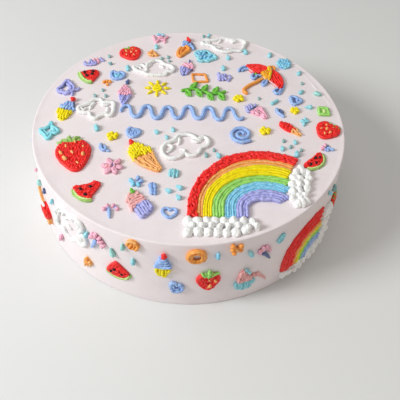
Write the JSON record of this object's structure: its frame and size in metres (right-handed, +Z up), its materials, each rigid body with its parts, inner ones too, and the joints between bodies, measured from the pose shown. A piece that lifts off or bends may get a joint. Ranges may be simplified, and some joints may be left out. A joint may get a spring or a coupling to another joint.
{
  "type": "decorated round cake",
  "caption": "Uncut round iced cake with piped buttercream rainbows, fruit, ices, clouds and flowers over its top and side.",
  "frame": {"origin": "middle of the flat base, at the middle of the round body", "axes": "+Z up through the cake, -Y towards the front, +X to the right as seen from the front"},
  "size_m": [0.2728, 0.2755, 0.0844],
  "materials": {
    "base_icing": "satin",
    "red_icing": "satin",
    "orange_icing": "satin",
    "yellow_icing": "satin",
    "green_icing": "satin",
    "leaf_green_icing": "satin",
    "sky_icing": "satin",
    "teal_icing": "satin",
    "blue_icing": "satin",
    "violet_icing": "satin",
    "pink_icing": "satin",
    "white_icing": "satin"
  },
  "bodies": {
    "root": {"cake": "base_icing", "cloud_back_left": "white_icing", "cloud_back_right": "white_icing", "cloud_left": "white_icing", "cloud_middle": "white_icing", "cloud_rear": "white_icing", "cloud_side": "white_icing", "cone_blue": "orange_icing", "cone_lilac": "pink_icing", "cone_pink": "pink_icing", "cone_rear": "yellow_icing", "cone_yellow": "yellow_icing", "cup_front": "blue_icing", "cup_lilac": "violet_icing", "cup_pink": "pink_icing", "cup_rear": "pink_icing", "cup_yellow": "yellow_icing", "curl": "violet_icing", "flower_cyan": "teal_icing", "flower_lilac": "violet_icing", "flower_pink": "pink_icing", "flower_teal": "teal_icing", "green_sprig": "leaf_green_icing", "lolly_red": "red_icing", "melon_back_left": "red_icing", "melon_front": "red_icing", "melon_left": "red_icing", "melon_rear": "red_icing", "melon_right": "red_icing", "rainbow_cloud_left": "white_icing", "rainbow_cloud_right": "white_icing", "rainbow_green": "green_icing", "rainbow_orange": "orange_icing", "rainbow_red": "red_icing", "rainbow_sky": "sky_icing", "rainbow_violet": "violet_icing", "rainbow_yellow": "yellow_icing", "ring_front": "orange_icing", "ring_rear": "orange_icing", "side_cloud_left": "white_icing", "side_cloud_right": "white_icing", "side_rainbow_blue": "blue_icing", "side_rainbow_green": "green_icing", "side_rainbow_orange": "orange_icing", "side_rainbow_red": "red_icing", "side_rainbow_yellow": "yellow_icing", "strawberry_back": "red_icing", "strawberry_front": "red_icing", "strawberry_left": "red_icing", "strawberry_rear": "red_icing", "strawberry_right": "red_icing", "strawberry_side": "red_icing", "sun": "yellow_icing", "sundae": "teal_icing", "umbrella": "red_icing", "umbrella_handle": "orange_icing", "umbrella_side": "red_icing", "wave_scroll": "violet_icing"}
  },
  "joints": []
}
